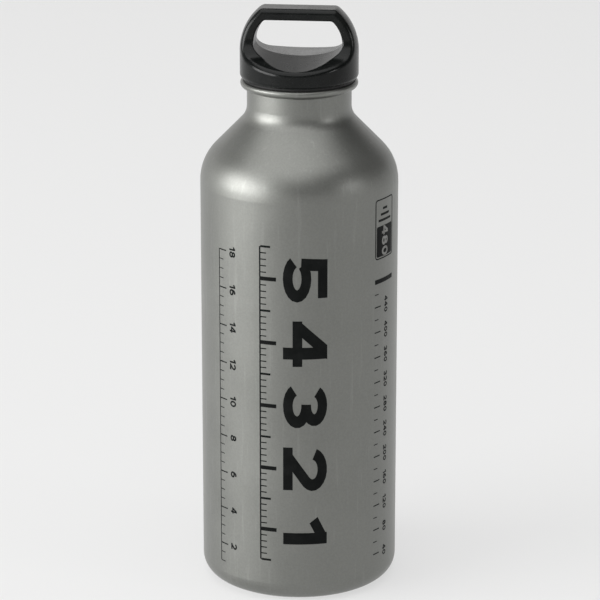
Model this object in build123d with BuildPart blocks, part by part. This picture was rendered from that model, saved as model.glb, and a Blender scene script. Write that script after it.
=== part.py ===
from build123d import *
import math
import os

# A camping fuel bottle: an aluminium bottle, a screw cap with a carry loop, and a rubber sealing ring.
# All sizes are in millimetres. +Z is up, the origin is the middle of the base on the surface that the
# bottle stands on, and the cap's loop runs along X when the cap is tight.

# Bottle, outside
body_radius = 37.0
base_corner_radius = 7.3
mouth_height = 194.2
neck_radius = 19.45
neck_length = 12.7  # from the mouth down to where the neck and the sloping shoulder would meet
neck_cove_radius = 7.7
shoulder_height = 18.1  # from there down to where the shoulder and the side would meet
shoulder_radius = 18.4
bead_reach = 2.4  # how far the bead stands out from the neck
bead_height = 2.75
bead_top_round = 1.1
bead_foot_round = 1.6
bead_groove_round = 0.5

# Bottle, inside
body_wall = 1.0
base_wall = 1.6
dome_height = 8.0  # of the base's hollow, from the standing surface to its middle
standing_ring_width = 2.2
standing_ring_round = 1.5
inner_shoulder_drop = 1.2  # how far each inner corner lies below the outer one
inner_neck_drop = 2.0
neck_wall = 3.7
neck_bore_round = 2.5
mouth_step = 1.85  # from the neck's bore out to the wider bore at the mouth
mouth_bore_depth = 4.0
mouth_lead = 0.7

# Thread, right-handed: a groove in the neck and a ridge on the plug
thread_pitch = 4.0
groove_depth = 1.55
groove_root_width = 2.0
groove_mouth_width = 3.0
ridge_turns = 2.25
thread_clearance = 0.5

# Sealing ring
seal_thickness = 1.7
seal_width = 3.7
seal_round = 0.4
seal_clearance = 0.3

# Cap: collar and plug
collar_overhang = 0.15  # beyond the bead
collar_height = 6.0  # from the underside to the rim at the front
collar_foot_round = 1.7
recess_depth = 0.9
stem_clearance = 0.6
plug_length = 19.0  # below the mouth
plug_wall = 2.6
plug_tip_chamfer = 0.8
plug_root = 2.0  # how far the plug runs up into the collar
crown_wall = 3.5
vent_width = 2.4
vent_depth = 0.5

# Cap: carry loop
cap_height = 26.3  # from the underside to the top of the loop
bar_thickness = 4.5  # in the middle of its depth
bar_half_depth = 5.5
leg_half_depth = 6.8
shelf_rise = 4.4  # from the rim to the foot of the loop
shelf_cove_radius = 8.0
loop_arc_radius = 20.5
loop_arc_drop = 16.0  # from the top down to the level where the sides start to curve in
loop_corner_round = 2.5
loop_edge_round = 2.0
leg_thickness = 6.0  # in the middle of the depth, like the hole's other sizes
hole_floor_rise = 8.0
hole_arc_radius = 11.4
hole_arc_drop = 8.3
hole_corner_round = 2.0
hole_draft = 1.7  # how much further out the hole's outline lies at the collar's side
hole_edge_round = 0.7

# Radii that follow
bead_radius = neck_radius + bead_reach
neck_bore_radius = neck_radius - neck_wall
mouth_bore_radius = neck_bore_radius + mouth_step
groove_radius = neck_bore_radius + groove_depth
cap_radius = bead_radius + collar_overhang
hole_half_width = cap_radius - leg_thickness

# Heights that follow
neck_corner_height = mouth_height - neck_length
shoulder_corner_height = neck_corner_height - shoulder_height
bead_foot_height = mouth_height - bead_height
mouth_bore_foot = mouth_height - mouth_bore_depth
neck_bore_foot = neck_corner_height - inner_neck_drop
collar_base = mouth_height + seal_thickness - recess_depth
recess_roof = collar_base + recess_depth
rim_height = collar_base + collar_height
foot_height = rim_height + shelf_rise
cap_top = collar_base + cap_height
loop_arc_height = cap_top - loop_arc_drop
hole_floor = collar_base + hole_floor_rise
hole_top = cap_top - bar_thickness
hole_middle = hole_top - hole_arc_drop
plug_tip = mouth_height - plug_length

# The base's hollow is part of a sphere
standing_ring_outer = body_radius - base_corner_radius
standing_ring_inner = standing_ring_outer - standing_ring_width
dome_radius = (standing_ring_inner**2 + dome_height**2) / (2 * dome_height)
dome_angle = math.degrees(math.asin(standing_ring_inner / dome_radius))
dome_centre = dome_height - dome_radius
inner_dome_radius = dome_radius + base_wall
inner_dome_angle = math.degrees(math.acos((base_wall - dome_centre) / inner_dome_radius))

# Thread sizes that follow
groove_start = neck_bore_foot - thread_pitch
groove_cut_radius = neck_bore_radius - thread_clearance / 2
groove_height = mouth_bore_foot + groove_mouth_width - groove_start
ridge_start = groove_start + thread_pitch
core_radius = neck_bore_radius - thread_clearance
ridge_radius = groove_radius - thread_clearance
stem_radius = mouth_bore_radius - stem_clearance
stem_foot = mouth_bore_foot + stem_clearance
seal_inner_radius = stem_radius + seal_clearance
seal_outer_radius = seal_inner_radius + seal_width
recess_radius = seal_outer_radius + seal_clearance / 2
plug_hollow_radius = core_radius - plug_wall
plug_hollow_roof = hole_floor - crown_wall


def groove_width(radius):
    """Width of the thread groove at a radius, between its two sloping flanks."""
    flank = (groove_mouth_width - groove_root_width) / (groove_radius - neck_bore_radius)
    return groove_root_width + (groove_radius - radius) * flank


def thread_section(inner, outer, height, clearance):
    """Outline of the thread in the plane through the axis: wide at the inner radius."""
    inner_half = groove_width(inner) / 2 - clearance
    outer_half = groove_width(outer) / 2 - clearance
    return [
        (inner, height - inner_half),
        (outer, height - outer_half),
        (outer, height + outer_half),
        (inner, height + inner_half),
    ]


os.makedirs("parts", exist_ok=True)

# Bottle: one turned shell from the base's hollow up to the bead and back down inside
with BuildPart() as bottle:
    with BuildSketch(Plane.XZ):
        with BuildLine():
            hollow = CenterArc((0, dome_centre), dome_radius, 90, -dome_angle)
            outside = FilletPolyline(
                hollow @ 1,
                (body_radius, 0),
                (body_radius, shoulder_corner_height),
                (neck_radius, neck_corner_height),
                (neck_radius, bead_foot_height),
                (bead_radius, bead_foot_height),
                (bead_radius, mouth_height),
                (mouth_bore_radius + mouth_lead, mouth_height),
                radius=[
                    base_corner_radius,
                    shoulder_radius,
                    neck_cove_radius,
                    bead_groove_round,
                    bead_foot_round,
                    bead_top_round,
                ],
            )
            mouth = Polyline(
                outside @ 1,
                (mouth_bore_radius, mouth_height - mouth_lead),
                (mouth_bore_radius, mouth_bore_foot),
                (neck_bore_radius, mouth_bore_foot - (mouth_bore_radius - neck_bore_radius)),
            )
            inner_hollow = CenterArc((0, dome_centre), inner_dome_radius, 90, -inner_dome_angle)
            inside = FilletPolyline(
                mouth @ 1,
                (neck_bore_radius, neck_bore_foot),
                (body_radius - body_wall, shoulder_corner_height - inner_shoulder_drop),
                (body_radius - body_wall, base_wall),
                inner_hollow @ 1,
                radius=[neck_bore_round, shoulder_radius - body_wall, base_corner_radius - body_wall],
            )
            Line(inner_hollow @ 0, hollow @ 0)
        make_face()
    revolve(axis=Axis.Z)
    ring_edge = bottle.edges().filter_by(GeomType.CIRCLE).group_by(Axis.Z)[0].sort_by(SortBy.LENGTH)[0]
    fillet(ring_edge, radius=standing_ring_round)
    with BuildLine() as groove_path:
        Helix(thread_pitch, groove_height, neck_bore_radius, center=(0, 0, groove_start))
    with BuildSketch(Plane.XZ):
        with BuildLine():
            Polyline(thread_section(groove_cut_radius, groove_radius, groove_start, 0), close=True)
        make_face()
    sweep(path=groove_path.line, is_frenet=True, mode=Mode.SUBTRACT)
bottle.part.label = "bottle"
export_step(bottle.part, "parts/bottle.step")

# Sealing ring: a flat rubber ring between the mouth's bead and the recess under the collar
with BuildPart() as sealing_ring:
    with BuildSketch(Plane.XZ) as ring_section:
        with Locations((seal_inner_radius, mouth_height)):
            Rectangle(seal_width, seal_thickness, align=(Align.MIN, Align.MIN))
        fillet(ring_section.vertices(), radius=seal_round)
    revolve(axis=Axis.Z)
sealing_ring.part.label = "sealing_ring"
export_step(sealing_ring.part, "parts/sealing_ring.step")

# Cap: one moulding. The collar and the loop are one turned shape that is cut to a side outline.
with BuildPart() as cap:
    with BuildSketch(Plane.XZ) as turned:
        with BuildLine():
            arc_angle = math.degrees(math.asin(loop_arc_drop / loop_arc_radius))
            arc_centre = cap_radius - loop_arc_radius
            side_arc = CenterArc((arc_centre, loop_arc_height), loop_arc_radius, 0, arc_angle)
            Polyline(side_arc @ 0, (cap_radius, collar_base), (0, collar_base), (0, cap_top), side_arc @ 1)
        make_face()
        fillet(turned.vertices().group_by(Axis.Y)[-1].sort_by(Axis.X)[-1], radius=loop_corner_round)
    revolve(axis=Axis.Z)
    with BuildSketch(Plane.YZ):
        with BuildLine():
            FilletPolyline(
                (-cap_radius, collar_base),
                (-cap_radius, rim_height),
                (-leg_half_depth, foot_height),
                (-bar_half_depth, cap_top),
                (0, cap_top),
                radius=[0, shelf_cove_radius, 0],
            )
            Polyline((0, cap_top), (0, collar_base), (-cap_radius, collar_base))
        make_face()
        mirror(about=Plane.YZ)
    extrude(amount=cap_radius, both=True, mode=Mode.INTERSECT)
    fillet(cap.edges(Select.NEW).filter_by_position(Axis.Z, rim_height, cap_top), radius=loop_edge_round)
    fillet(cap.edges().group_by(Axis.Z)[0], radius=collar_foot_round)

    # The hole of the loop: two cuts from the front and the back, with draft, that meet in the middle
    for place, growth in ((-cap_radius, hole_draft), (0, 0), (cap_radius, hole_draft)):
        with BuildSketch(Plane.XZ.offset(place)) as hole:
            with BuildLine():
                arc_radius = hole_arc_radius + growth
                arc_angle = math.degrees(math.asin((hole_arc_drop + growth) / arc_radius))
                arc_centre = hole_half_width - hole_arc_radius
                side_arc = CenterArc((arc_centre, hole_middle), arc_radius, 0, arc_angle)
                Polyline(side_arc @ 1, (0, hole_top + growth), (0, hole_floor - growth))
                EllipticalCenterArc(
                    (0, hole_middle),
                    hole_half_width + growth,
                    hole_middle - hole_floor + growth,
                    start_angle=-90,
                    arc_size=90,
                )
            make_face()
            mirror(about=Plane.YZ)
            fillet(hole.vertices().group_by(Axis.Y)[-1], radius=hole_corner_round)
    loft(ruled=True, mode=Mode.SUBTRACT)
    fillet(cap.edges(Select.NEW), radius=hole_edge_round)

    # Recess for the sealing ring, and the plug below it
    with BuildSketch(Plane.XY.offset(collar_base)):
        Circle(recess_radius)
    extrude(amount=recess_depth, mode=Mode.SUBTRACT)
    with BuildSketch(Plane.XZ):
        with BuildLine():
            Polyline(
                (0, plug_tip),
                (core_radius - plug_tip_chamfer, plug_tip),
                (core_radius, plug_tip + plug_tip_chamfer),
                (core_radius, stem_foot),
                (stem_radius, stem_foot + stem_radius - core_radius),
                (stem_radius, recess_roof + plug_root),
                (0, recess_roof + plug_root),
                close=True,
            )
        make_face()
    revolve(axis=Axis.Z)
    with BuildSketch(Plane.XY.offset(plug_tip)):
        Circle(plug_hollow_radius)
    extrude(amount=plug_hollow_roof - plug_tip, mode=Mode.SUBTRACT)

    # Thread ridge, cut through by the slot that lets pressure out before the thread lets go
    with BuildLine() as ridge_path:
        Helix(thread_pitch, ridge_turns * thread_pitch, core_radius, center=(0, 0, ridge_start))
    with BuildSketch(Plane.XZ):
        with BuildLine():
            Polyline(
                thread_section(plug_hollow_radius + plug_wall / 2, ridge_radius, ridge_start, thread_clearance),
                close=True,
            )
        make_face()
    sweep(path=ridge_path.line, is_frenet=True)
    with BuildSketch(Plane.XY.offset(plug_tip)):
        with Locations((0, core_radius - vent_depth)):
            Rectangle(vent_width, ridge_radius, align=(Align.CENTER, Align.MIN))
    extrude(amount=stem_foot - plug_tip, mode=Mode.SUBTRACT)
cap.part.label = "cap"
export_step(cap.part, "parts/cap.step")
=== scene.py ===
import math

import bmesh
import bpy
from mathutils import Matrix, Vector
from mathutils.geometry import delaunay_2d_cdt


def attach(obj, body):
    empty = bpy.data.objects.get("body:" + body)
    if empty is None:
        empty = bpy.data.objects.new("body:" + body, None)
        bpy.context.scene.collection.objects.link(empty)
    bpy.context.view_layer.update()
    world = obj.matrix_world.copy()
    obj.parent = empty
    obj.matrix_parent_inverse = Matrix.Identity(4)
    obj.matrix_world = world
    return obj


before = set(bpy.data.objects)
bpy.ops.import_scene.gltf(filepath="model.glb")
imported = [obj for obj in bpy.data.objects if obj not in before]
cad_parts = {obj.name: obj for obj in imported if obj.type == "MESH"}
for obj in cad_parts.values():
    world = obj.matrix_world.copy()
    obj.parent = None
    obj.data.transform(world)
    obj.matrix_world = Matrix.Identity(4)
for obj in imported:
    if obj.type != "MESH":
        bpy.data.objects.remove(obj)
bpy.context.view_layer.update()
scene = bpy.context.scene
scene.view_settings.view_transform = "Standard"
print("frame loaded:", ", ".join(sorted(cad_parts)))

mm = 0.001


# Camera

cameraView = {
    "lens": 193.74,  # mm
    "sensor": 36,  # mm across
    "distance": 1.221,  # m, to the point it looks at
    "targetHeight": 0.1083,  # m, on the bottle's axis
    "lookDown": 17.5,  # degrees
    "roundToRight": 5.5,  # degrees from straight in front
    "shift": 0.0012,
    "nearest": 0.05,  # m
}


def placeCamera(view):
    data = bpy.data.cameras.new("photoCamera")
    data.lens = view["lens"]
    data.sensor_width = view["sensor"]
    data.shift_x = view["shift"]
    data.clip_start = view["nearest"]
    camera = bpy.data.objects.new("photoCamera", data)
    scene.collection.objects.link(camera)
    down = math.radians(view["lookDown"])
    turn = math.radians(view["roundToRight"])
    away = view["distance"] * math.cos(down)
    camera.location = (
        away * math.sin(turn),
        -away * math.cos(turn),
        view["targetHeight"] + view["distance"] * math.sin(down),
    )
    camera.rotation_euler = (math.pi / 2 - down, 0, turn)
    scene.camera = camera


placeCamera(cameraView)
print("camera placed")


# Small helpers for materials

def addNode(tree, kind, **settings):
    node = tree.nodes.new(kind)
    for key, value in settings.items():
        setattr(node, key, value)
    return node


def newMaterial(name):
    # a material with its shader, and the place on the object that its patterns follow
    material = bpy.data.materials.new(name)
    material.use_nodes = True
    tree = material.node_tree
    place = addNode(tree, "ShaderNodeTexCoord").outputs["Object"]
    return material, tree, tree.nodes["Principled BSDF"], place


def noise(tree, where, size, detail, rough):
    node = addNode(tree, "ShaderNodeTexNoise")
    node.inputs["Scale"].default_value = 1 / size
    node.inputs["Detail"].default_value = detail
    node.inputs["Roughness"].default_value = rough
    tree.links.new(where, node.inputs["Vector"])
    return node.outputs["Fac"]


def spread(tree, value, low, high, newLow, newHigh):
    # stretch a value from one range to another, held at both ends
    node = addNode(tree, "ShaderNodeMapRange")
    for socket, number in zip(node.inputs[1:5], (low, high, newLow, newHigh)):
        socket.default_value = number
    tree.links.new(value, node.inputs[0])
    return node.outputs[0]


def combine(tree, how, first, second):
    node = addNode(tree, "ShaderNodeMath", operation=how)
    for socket, value in zip(node.inputs, (first, second)):
        if isinstance(value, (int, float)):
            socket.default_value = value
        else:
            tree.links.new(value, socket)
    return node.outputs[0]


def blendColours(tree, amount, first, second):
    node = addNode(tree, "ShaderNodeMix", data_type="RGBA")
    tree.links.new(amount, node.inputs[0])
    for socket, value in zip(node.inputs[6:8], (first, second)):
        if isinstance(value, tuple):
            socket.default_value = (*value, 1)
        else:
            tree.links.new(value, socket)
    return node.outputs[2]


def bump(tree, height, depth, strength, under=None):
    node = addNode(tree, "ShaderNodeBump")
    node.inputs["Strength"].default_value = strength
    node.inputs["Distance"].default_value = depth
    tree.links.new(height, node.inputs["Height"])
    if under:
        tree.links.new(under, node.inputs["Normal"])
    return node.outputs["Normal"]


def edgeWear(tree, width, start, full):
    # how far the surface turns within a small width: high on sharp edges
    bevel = addNode(tree, "ShaderNodeBevel", samples=4)
    bevel.inputs["Radius"].default_value = width
    geometry = addNode(tree, "ShaderNodeNewGeometry")
    dot = addNode(tree, "ShaderNodeVectorMath", operation="DOT_PRODUCT")
    tree.links.new(bevel.outputs[0], dot.inputs[0])
    tree.links.new(geometry.outputs["Normal"], dot.inputs[1])
    return spread(tree, dot.outputs["Value"], 1 - start, 1 - full, 0, 1)


def paint(tree, shader, colour, rough, normal):
    for socket, value in (("Base Color", colour), ("Roughness", rough), ("Normal", normal)):
        tree.links.new(value, shader.inputs[socket])


# Grey anodised aluminium of the bottle

blastedMetal = {
    "colour": (0.174, 0.178, 0.165),
    "paleColour": (0.194, 0.198, 0.184),
    "rubbedColour": (0.56, 0.56, 0.545),
    "roughness": (0.46, 0.54),
    "sealedLayer": (0.51, 0.35),  # how much of the clear anodised layer shows, and its roughness
    "grain": 0.16 * mm,  # size of the marks that the beads leave
    "grainDepth": 0.006 * mm,
    "mottle": 0.75 * mm,
    "mottleDepth": 0.010 * mm,
    "smudgeSize": 28 * mm,
    "rubMarks": (2.2 * mm, 34 * mm),  # width and length
    "rubShows": 0.10,
    "rubRoughness": -0.05,
    "mottleShows": 0.05,
    "scuff": (1.6 * mm, 0.2 * mm),  # heights where it begins and is full, as it stands there
    "scuffPatches": (0.15, 0.9),  # how worn it is between the patches and in them
    "neck": (172 * mm, 184 * mm),  # the drawn neck is smoother
    "neckRoughness": -0.03,
    "grainRoughness": 0.03,
}


def makeBlastedMetal(look):
    material, tree, shader, place = newMaterial("blastedAluminium")
    split = addNode(tree, "ShaderNodeSeparateXYZ")
    tree.links.new(place, split.inputs[0])
    height = split.outputs["Z"]

    grain = noise(tree, place, look["grain"], 3, 0.6)
    cloud = noise(tree, place, look["smudgeSize"], 4, 0.6)
    mottle = noise(tree, place, look["mottle"], 3, 0.6)
    stretch = addNode(tree, "ShaderNodeMapping")
    rubWide, rubLong = look["rubMarks"]
    stretch.inputs["Scale"].default_value = (1 / rubWide, 1 / rubWide, 1 / rubLong)
    tree.links.new(place, stretch.inputs["Vector"])
    rub = spread(tree, noise(tree, stretch.outputs[0], 1, 3, 0.7), 0.58, 0.80, 0, 1)

    colour = blendColours(tree, spread(tree, cloud, 0.35, 0.68, 0, 1), look["colour"], look["paleColour"])
    worn = spread(tree, height, *look["scuff"], 0, 1)
    worn = combine(tree, "MULTIPLY", worn, spread(tree, mottle, 0.42, 0.58, *look["scuffPatches"]))
    worn = combine(tree, "ADD", worn, combine(tree, "MULTIPLY", rub, look["rubShows"]))
    worn = combine(tree, "ADD", worn, spread(tree, mottle, 0.35, 0.65, 0, look["mottleShows"]))
    colour = blendColours(tree, worn, colour, look["rubbedColour"])

    more = look["grainRoughness"]
    rough = spread(tree, cloud, 0.3, 0.7, *look["roughness"])
    rough = combine(tree, "ADD", rough, spread(tree, grain, 0.3, 0.7, -more, more))
    rough = combine(tree, "ADD", rough, combine(tree, "MULTIPLY", rub, look["rubRoughness"]))
    rough = combine(tree, "ADD", rough, spread(tree, height, *look["neck"], 0, look["neckRoughness"]))

    waves = bump(tree, mottle, look["mottleDepth"], 0.5)
    paint(tree, shader, colour, rough, bump(tree, grain, look["grainDepth"], 0.6, waves))
    shader.inputs["Metallic"].default_value = 1
    layer, layerRough = look["sealedLayer"]
    shader.inputs["Coat Weight"].default_value = layer
    shader.inputs["Coat Roughness"].default_value = layerRough
    return material


# Black plastic of the cap

capPlastic = {
    "colour": (0.0035, 0.0042, 0.0040),
    "paleColour": (0.0070, 0.0078, 0.0074),
    "wornColour": (0.045, 0.046, 0.045),
    "roughness": (0.20, 0.28),
    "rubRoughness": (-0.02, 0.03),
    "refraction": 1.5,
    "shine": 0.19,
    "texture": 0.35 * mm,
    "textureDepth": 0.006 * mm,
    "cloudSize": 9 * mm,
    "rubSize": 1.1 * mm,
    "edgeWidth": 0.7 * mm,
    "edgeTurn": (0.02, 0.16),  # how sharp an edge is where wear begins, and where it is full
    "edgeWorn": (0.05, 0.7),  # least and most wear along an edge
}


def makeCapPlastic(look):
    material, tree, shader, place = newMaterial("blackPlastic")
    texture = noise(tree, place, look["texture"], 3, 0.55)
    cloud = noise(tree, place, look["cloudSize"], 3, 0.6)
    rub = noise(tree, place, look["rubSize"], 4, 0.65)

    colour = blendColours(tree, spread(tree, cloud, 0.35, 0.65, 0, 1), look["colour"], look["paleColour"])
    worn = edgeWear(tree, look["edgeWidth"], *look["edgeTurn"])
    worn = combine(tree, "MULTIPLY", worn, spread(tree, rub, 0.48, 0.66, *look["edgeWorn"]))
    colour = blendColours(tree, worn, colour, look["wornColour"])

    rough = spread(tree, cloud, 0.3, 0.7, *look["roughness"])
    rough = combine(tree, "ADD", rough, spread(tree, rub, 0.35, 0.65, *look["rubRoughness"]))
    paint(tree, shader, colour, rough, bump(tree, texture, look["textureDepth"], 0.5))
    shader.inputs["IOR"].default_value = look["refraction"]
    shader.inputs["Specular IOR Level"].default_value = look["shine"]
    return material


# Rubber of the sealing ring

sealRubber = {
    "colour": (0.0045, 0.0045, 0.0045),
    "dustColour": (0.012, 0.0117, 0.011),
    "roughness": (0.48, 0.62),
    "shine": 0.3,
    "grain": 0.25 * mm,
    "grainDepth": 0.010 * mm,
    "dustSize": 3 * mm,
}


def makeSealRubber(look):
    material, tree, shader, place = newMaterial("sealRubber")
    grain = noise(tree, place, look["grain"], 3, 0.6)
    dust = noise(tree, place, look["dustSize"], 3, 0.6)
    colour = blendColours(tree, spread(tree, dust, 0.45, 0.7, 0, 1), look["colour"], look["dustColour"])
    rough = spread(tree, dust, 0.3, 0.7, *look["roughness"])
    paint(tree, shader, colour, rough, bump(tree, grain, look["grainDepth"], 0.6))
    shader.inputs["Specular IOR Level"].default_value = look["shine"]
    return material


def dress(node, material):
    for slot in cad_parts[node].material_slots:
        slot.material = material


dress("bottle", makeBlastedMetal(blastedMetal))
dress("cap", makeCapPlastic(capPlastic))
dress("sealing_ring", makeSealRubber(sealRubber))
print("metal, plastic and rubber on their pieces")


# Print on the body: level scales with plain numbers, drawn flat and then rolled round it

inks = {
    "darkInk": ((0.0040, 0.0047, 0.0045), (0.0072, 0.0080, 0.0078)),  # its colour, and where it is thin
    "paleInk": ((0.30, 0.30, 0.29), (0.24, 0.24, 0.23)),
    "roughness": (0.42, 0.54),
    "shine": 0.07,
    "grain": 0.2 * mm,
    "grainDepth": 0.004 * mm,
    "cloudSize": 4 * mm,
}


def makeInk(name, look):
    material, tree, shader, place = newMaterial(name)
    grain = noise(tree, place, look["grain"], 3, 0.6)
    cloud = noise(tree, place, look["cloudSize"], 3, 0.6)
    colour = blendColours(tree, spread(tree, cloud, 0.4, 0.7, 0, 1), *look[name])
    rough = spread(tree, cloud, 0.3, 0.7, *look["roughness"])
    paint(tree, shader, colour, rough, bump(tree, grain, look["grainDepth"], 0.5))
    shader.inputs["Specular IOR Level"].default_value = look["shine"]
    return material


darkInk = makeInk("darkInk", inks)
paleInk = makeInk("paleInk", inks)

printing = {
    "bodyRadius": 37.0 * mm,
    "front": -84.5,  # degrees, where the middle of the print lies
    "proud": 0.025 * mm,
    "sunk": 0.06 * mm,
    "strip": 1.0 * mm,  # widest strip, so that the film lies close round the body
    "merge": 0.001 * mm,  # points nearer than this become one
    "cornerSteps": 5,
    "bowStep": 18,  # degrees
}


def drawBar(sheet, left, middle, width, height):
    # x runs along the girth and y up the body
    low, high = middle - height / 2, middle + height / 2
    corners = ((left, low), (left + width, low), (left + width, high), (left, high))
    sheet.faces.new([sheet.verts.new((x, y, 0)) for x, y in corners])


def roundedCorners(left, low, width, height, radius, inset=0.0):
    # points round a box with rounded corners, drawn in by the inset
    points = []
    inner = max(radius - inset, 0)
    steps = printing["cornerSteps"]
    for turn, x, y in (
        (0, left + width - radius, low + height - radius),
        (90, left + radius, low + height - radius),
        (180, left + radius, low + radius),
        (270, left + width - radius, low + radius),
    ):
        for step in range(steps + 1):
            angle = math.radians(turn + step * 90 / steps)
            points.append((x + inner * math.cos(angle), y + inner * math.sin(angle)))
    return points


def drawPlate(sheet, left, low, width, height, radius):
    outline = roundedCorners(left, low, width, height, radius)
    sheet.faces.new([sheet.verts.new((x, y, 0)) for x, y in outline])


def drawFrame(sheet, left, low, width, height, radius, line):
    outer = [sheet.verts.new((x, y, 0)) for x, y in roundedCorners(left, low, width, height, radius)]
    inner = [sheet.verts.new((x, y, 0)) for x, y in roundedCorners(left, low, width, height, radius, line)]
    for here in range(len(outer)):
        after = (here + 1) % len(outer)
        sheet.faces.new((outer[here], outer[after], inner[after], inner[here]))


def bow(x, y, wide, high, start, end):
    # points along the arc of an oval, from one angle to another
    steps = math.ceil(abs(end - start) / printing["bowStep"])
    turns = [math.radians(start + (end - start) * step / steps) for step in range(steps + 1)]
    return [(x + wide * math.cos(turn), y + high * math.sin(turn)) for turn in turns]


# the pen's lines for each digit, in a cell 10 wide and 12 high that trims what runs out of it
digits = {
    "wide": 10,
    "high": 12,
    "weight": 2.6,
    "gap": 1.5,
    "0": [bow(5, 6, 3.7, 4.7, 0, 378)],
    "1": [[(6, -1), (6, 13)], [(6, 10.9), (1.8, 8.3)]],
    "2": [bow(5, 8, 3.5, 2.7, 168, -38) + [(0.2, -0.33)], [(0, 1.3), (9.6, 1.3)]],
    "3": [bow(5, 8.48, 3.2, 2.22, 160, -95), bow(5, 3.78, 3.6, 2.48, 95, -160)],
    "4": [[(7.1, 13), (7.1, -1)], [(0, 3.9), (10, 3.9)], [(7.6, 12.8), (1.05, 3.83)]],
    "5": [[(1.6, 10.7), (9.2, 10.7)], [(2.2, 13), (1.75, 4.9)], bow(4.9, 3.8, 3.8, 2.5, 140, -158)],
    "6": [bow(5, 4.2, 3.7, 2.9, 0, 378), bow(5.6, 4.6, 4.3, 6.1, 185, 62)],
    "7": [[(0.4, 10.7), (9.3, 10.7)], [(8.4, 11.2), (3.2, -1)]],
    "8": [bow(5, 8.45, 3.1, 2.25, 0, 378), bow(5, 3.8, 3.6, 2.5, 0, 378)],
    "9": [bow(5, 7.8, 3.7, 2.9, 0, 378), bow(4.4, 7.4, 4.3, 6.1, 5, -118)],
}


def inkOfDigit(digit):
    # lay a band along each line, then merge the bands and trim them to the cell
    points, bands = [], []
    for line in digits[digit]:
        way = [Vector(point) for point in line]
        steps = [(after - here).normalized() for here, after in zip(way, way[1:])]
        for here, before, after in zip(way, steps[:1] + steps, steps + steps[-1:]):
            side = Vector((-before.y - after.y, before.x + after.x)).normalized()
            side *= digits["weight"] / 2 / side.dot(Vector((-after.y, after.x)))
            points += [here + side, here - side]
        last = len(points) - 2
        bands += [(n, n + 1, n + 3, n + 2) for n in range(last - 2 * len(steps), last, 2)]
    first = len(points)
    wide, high = digits["wide"], digits["high"]
    points += [Vector(corner) for corner in ((0, 0), (wide, 0), (wide, high), (0, high))]
    border = [(first + n, first + (n + 1) % 4) for n in range(4)]
    places, _, faces, _, _, owners = delaunay_2d_cdt(points, border, bands, 0, 1e-5)
    kept = []
    for face, owner in zip(faces, owners):
        middle = sum((places[n] for n in face), Vector((0, 0))) / len(face)
        if owner and 0 < middle.x < wide and 0 < middle.y < high:
            kept.append(face)
    return {n: places[n] for n in sorted({n for face in kept for n in face})}, kept


digitInk = {digit: inkOfDigit(digit) for digit in "0123456789"}


def drawNumber(sheet, words, x, y, digitHeight, wide=1.0):
    # a plain number centred on x and y, reading down the body
    unit = digitHeight / digits["high"]
    along, drawn = 0.0, []
    for digit in words:
        places, faces = digitInk[digit]
        left, right = min(p.x for p in places.values()), max(p.x for p in places.values())
        drawn.append((along - left, places, faces))
        along += right - left + digits["gap"]
    length = along - digits["gap"]
    for shift, places, faces in drawn:
        verts = {}
        for n, place in places.items():
            down = (place.x + shift - length / 2) * unit * wide
            up = (place.y - digits["high"] / 2) * unit
            verts[n] = sheet.verts.new((x + up, y - down, 0))
        for face in faces:
            sheet.faces.new([verts[n] for n in face])


def rollOnBody(name, sheet, ink, look, lift=0.0):
    # cut the flat print into strips, give it its thickness and bend it round the body
    bmesh.ops.remove_doubles(sheet, verts=sheet.verts, dist=look["merge"])
    places = [vert.co.x for vert in sheet.verts]
    for step in range(math.floor(min(places) / look["strip"]), math.ceil(max(places) / look["strip"]) + 1):
        everything = sheet.verts[:] + sheet.edges[:] + sheet.faces[:]
        cut = (step * look["strip"], 0, 0)
        bmesh.ops.bisect_plane(sheet, geom=everything, plane_co=cut, plane_no=(1, 0, 0))
    under = sheet.faces[:]
    film = bmesh.ops.extrude_face_region(sheet, geom=under)
    for vert in sheet.verts:
        vert.co.z = -look["sunk"]
    for vert in (item for item in film["geom"] if isinstance(item, bmesh.types.BMVert)):
        vert.co.z = look["proud"] + lift
    for vert in sheet.verts:
        turn = math.radians(look["front"]) + vert.co.x / look["bodyRadius"]
        far = look["bodyRadius"] + vert.co.z
        vert.co = (far * math.cos(turn), far * math.sin(turn), vert.co.y)
    bmesh.ops.recalc_face_normals(sheet, faces=sheet.faces)
    mesh = bpy.data.meshes.new(name)
    sheet.to_mesh(mesh)
    sheet.free()
    mesh.materials.append(ink)
    piece = bpy.data.objects.new(name, mesh)
    scene.collection.objects.link(piece)
    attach(piece, "bottle")


fill = {
    "base": 4.64,  # mm, what the wall and the hollow of the base take up
    "rise": 0.24561,  # mm for each millilitre, in the straight part of the body
}


def heightOfLevel(volume):
    # height in the bottle of a fill of so many millilitres
    return (fill["base"] + volume * fill["rise"]) * mm


def drawRule(sheet, plan, marks):
    # an upright line from the first mark to the last, with a bar at each
    low, high = heightOfLevel(min(marks)), heightOfLevel(max(marks))
    drawBar(sheet, plan["rulePlace"] - plan["ruleWidth"], (low + high) / 2, plan["ruleWidth"], high - low)
    for volume, kind in marks.items():
        drawBar(sheet, plan["rulePlace"], heightOfLevel(volume), *plan[kind])


bigScale = {
    "numbers": (1, 2, 3, 4, 5),  # in steps of 100 millilitres
    "numberPlace": 2.2 * mm,
    "numberHeight": 16.5 * mm,
    "numberWide": 1.28,
    "rulePlace": -14.6 * mm,
    "ruleWidth": 0.55 * mm,
    "levels": range(50, 551, 10),
    "small": (2.2 * mm, 0.42 * mm),  # length and thickness of the marks
    "middle": (3.8 * mm, 0.80 * mm),
    "large": (6.0 * mm, 1.50 * mm),
}


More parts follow.
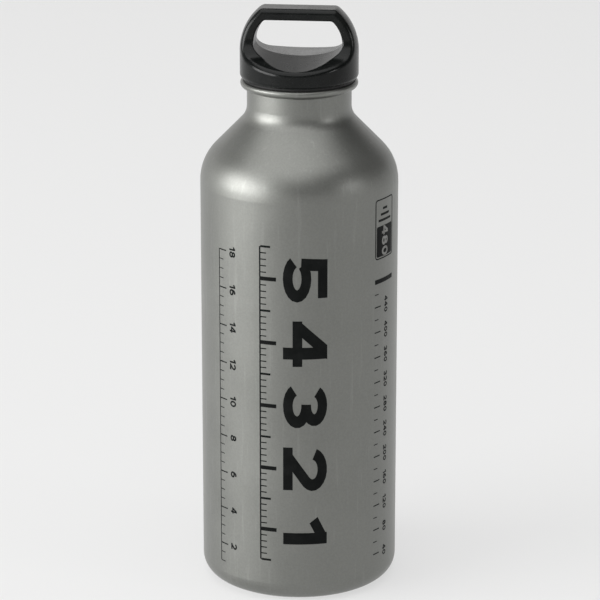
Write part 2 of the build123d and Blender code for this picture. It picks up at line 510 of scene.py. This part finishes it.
def makeBigScale(plan):
    sheet = bmesh.new()
    marks = {level: "small" for level in plan["levels"]}
    marks.update({level: "middle" for level in marks if level % 50 == 0})
    marks.update({level: "large" for level in marks if level % 100 == 0})
    drawRule(sheet, plan, marks)
    for number in plan["numbers"]:
        place = heightOfLevel(100 * number)
        drawNumber(sheet, str(number), plan["numberPlace"], place, plan["numberHeight"], plan["numberWide"])
    rollOnBody("big_level_scale", sheet, darkInk, printing)


ounceScale = {
    "numbers": range(2, 19, 2),
    "halves": range(2, 37),  # the marks, in half ounces
    "ounce": 29.574,  # millilitres
    "numberPlace": -27.0 * mm,
    "numberHeight": 2.9 * mm,
    "rulePlace": -34.0 * mm,
    "ruleWidth": 0.35 * mm,
    "small": (2.2 * mm, 0.30 * mm),
    "large": (3.8 * mm, 0.45 * mm),  # at each number
}


def makeOunceScale(plan):
    sheet = bmesh.new()
    marks = {n * plan["ounce"] / 2: "large" if n % 4 == 0 else "small" for n in plan["halves"]}
    drawRule(sheet, plan, marks)
    for number in plan["numbers"]:
        place = heightOfLevel(number * plan["ounce"])
        drawNumber(sheet, str(number), plan["numberPlace"], place, plan["numberHeight"])
    rollOnBody("ounce_scale", sheet, darkInk, printing)


fillMark = {
    "level": 480,  # millilitres
    "left": 31.8 * mm,
    "width": 12.4 * mm,
    "line": 1.7 * mm,
    "boxLow": 131.0 * mm,
    "boxHeight": 23.0 * mm,
    "boxRound": 1.3 * mm,
    "boxLine": 0.45 * mm,
    "plateHeight": 12.6 * mm,
    "plateInset": 0.9 * mm,
    "numberHeight": 4.2 * mm,
    "numberLift": 0.015 * mm,  # it lies on the plate
    "bars": (8.6 * mm, 5.8 * mm, 3.0 * mm),  # widths, from the lowest up
    "barApart": 2.2 * mm,
    "barLine": 0.9 * mm,
    "lower": range(440, 39, -40),  # levels under the mark, each with a small mark above it
    "halfStep": 20,
    "large": (3.6 * mm, 0.42 * mm),
    "small": (2.2 * mm, 0.32 * mm),
    "lowerPlace": 7.4 * mm,
    "lowerHeight": 2.3 * mm,
}


def makeFillMark(plan):
    sheet = bmesh.new()
    left, width, inset = plan["left"], plan["width"], plan["plateInset"]
    drawBar(sheet, left, heightOfLevel(plan["level"]), width, plan["line"])
    drawFrame(sheet, left, plan["boxLow"], width, plan["boxHeight"], plan["boxRound"], plan["boxLine"])
    plate = (width - 2 * inset, plan["plateHeight"] - inset)
    drawPlate(sheet, left + inset, plan["boxLow"] + inset, *plate, plan["boxRound"] / 2)
    for row, length in enumerate(plan["bars"]):
        middle = plan["boxLow"] + plan["plateHeight"] + plan["barApart"] * (row + 1)
        drawBar(sheet, left + (width - length) / 2, middle, length, plan["barLine"])
    for level in plan["lower"]:
        drawBar(sheet, left, heightOfLevel(level), *plan["large"])
        drawBar(sheet, left, heightOfLevel(level + plan["halfStep"]), *plan["small"])
        drawNumber(sheet, str(level), left + plan["lowerPlace"], heightOfLevel(level), plan["lowerHeight"])
    rollOnBody("fill_mark", sheet, darkInk, printing)
    sheet = bmesh.new()
    middle = plan["boxLow"] + (plan["plateHeight"] + inset) / 2
    drawNumber(sheet, str(plan["level"]), left + width / 2, middle, plan["numberHeight"])
    rollOnBody("fill_mark_number", sheet, paleInk, printing, plan["numberLift"])


makeBigScale(bigScale)
makeOunceScale(ounceScale)
makeFillMark(fillMark)
print("print rolled on the body")


# Floor, sky and lamps

studio = {
    "floorColour": (0.60, 0.60, 0.595),
    "floorShade": 0.985,  # how dark its clouds are
    "floorCloud": 1 / 3,  # m
    "floorRoughness": 0.9,
    "floorShine": 0.1,
    "floorWhite": 0.6,  # how far the floor is white to the eye, beside the light that falls on it
    "floorRadius": 2.8,
    "rimRadius": 0.35,  # the floor turns up into a low rim, so that a low camera sees no edge
    "rimHeight": 0.55,
    "skyColour": (0.080, 0.080, 0.080),
    "backdropColour": (1.0, 0.99, 0.98),
    "backdropTop": (0.26, 0.50),  # how high it starts to fade and where it ends, as the sine of the rise
    "backdropMiddle": (-0.30, 0.95, 0),  # it stands behind the bottle, a little to the left
    "backdropSide": (0.40, 0.80),
}


def makePaleFloor(look):
    material, tree, shader, place = newMaterial("paleFloor")
    cloud = noise(tree, place, look["floorCloud"], 2, 0.5)
    shade = tuple(look["floorShade"] * c for c in look["floorColour"])
    tree.links.new(blendColours(tree, cloud, look["floorColour"], shade), shader.inputs["Base Color"])
    shader.inputs["Roughness"].default_value = look["floorRoughness"]
    shader.inputs["Specular IOR Level"].default_value = look["floorShine"]
    ray = addNode(tree, "ShaderNodeLightPath")
    seen = combine(tree, "MAXIMUM", ray.outputs["Is Camera Ray"], ray.outputs["Is Glossy Ray"])
    seen = combine(tree, "MAXIMUM", seen, ray.outputs["Is Transmission Ray"])
    white = addNode(tree, "ShaderNodeEmission")
    mixed = addNode(tree, "ShaderNodeMixShader")
    tree.links.new(combine(tree, "MULTIPLY", seen, look["floorWhite"]), mixed.inputs[0])
    tree.links.new(shader.outputs[0], mixed.inputs[1])
    tree.links.new(white.outputs[0], mixed.inputs[2])
    tree.links.new(mixed.outputs[0], tree.nodes["Material Output"].inputs["Surface"])
    return material


def makeFloor(look):
    reach, bend = look["floorRadius"], look["rimRadius"]
    rises = [math.radians(angle) for angle in range(0, 91, 15)]
    profile = [(reach / 2, 0)] + [(reach + bend * math.sin(a), bend - bend * math.cos(a)) for a in rises]
    profile.append((reach + bend, look["rimHeight"]))
    turns = [math.radians(angle) for angle in range(0, 360, 5)]
    shape = bmesh.new()
    rings = [[shape.verts.new((r * math.cos(a), r * math.sin(a), z)) for a in turns] for r, z in profile]
    shape.faces.new(rings[0])
    for inner, outer in zip(rings, rings[1:]):
        for here in range(len(turns)):
            after = (here + 1) % len(turns)
            shape.faces.new((inner[here], outer[here], outer[after], inner[after])).smooth = True
    mesh = bpy.data.meshes.new("studioFloor")
    shape.to_mesh(mesh)
    shape.free()
    mesh.materials.append(makePaleFloor(look))
    floor = bpy.data.objects.new("studioFloor", mesh)
    scene.collection.objects.link(floor)


def makeSky(look):
    # a dim room with a pale backdrop that stands low behind the bottle
    world = bpy.data.worlds.new("studioSky")
    scene.world = world
    world.use_nodes = True
    tree = world.node_tree
    place = addNode(tree, "ShaderNodeTexCoord").outputs["Generated"]
    split = addNode(tree, "ShaderNodeSeparateXYZ")
    tree.links.new(place, split.inputs[0])
    facing = addNode(tree, "ShaderNodeVectorMath", operation="DOT_PRODUCT")
    facing.inputs[1].default_value = look["backdropMiddle"]
    tree.links.new(place, facing.inputs[0])
    behind = spread(tree, facing.outputs["Value"], *look["backdropSide"], 0, 1)
    low = spread(tree, split.outputs["Z"], *look["backdropTop"], 1, 0)
    amount = combine(tree, "MULTIPLY", behind, low)
    colour = blendColours(tree, amount, look["skyColour"], look["backdropColour"])
    tree.links.new(colour, tree.nodes["Background"].inputs["Color"])


makeFloor(studio)
makeSky(studio)

# turn is counted from the camera's side to its right, and level is how bright the lamp's face is
lamps = {
    "bigSoftLeft": {"turn": -69, "rise": 12, "distance": 2.7, "size": (2.3, 1.40), "level": 8.8},
    "smallSoftRight": {"turn": 64, "rise": 16, "distance": 1.8, "size": (0.40, 0.30), "level": 9.0},
    "softAbove": {"turn": -35, "rise": 76, "distance": 2.2, "size": (3.2, 3.2), "level": 1.85},
}


def placeLamp(name, plan):
    data = bpy.data.lights.new(name, "AREA")
    data.shape = "RECTANGLE"
    data.size, data.size_y = plan["size"]
    data.energy = plan["level"] * math.pi * data.size * data.size_y
    lamp = bpy.data.objects.new(name, data)
    scene.collection.objects.link(lamp)
    lamp.visible_camera = False
    turn = math.radians(cameraView["roundToRight"] - 90 + plan["turn"])
    rise = math.radians(plan["rise"])
    away = Vector((math.cos(rise) * math.cos(turn), math.cos(rise) * math.sin(turn), math.sin(rise)))
    lamp.location = Vector((0, 0, cameraView["targetHeight"])) + away * plan["distance"]
    lamp.rotation_euler = away.to_track_quat("Z", "Y").to_euler()


for lampName, lampPlan in lamps.items():
    placeLamp(lampName, lampPlan)
print("floor, sky and", len(lamps), "lamps set up")
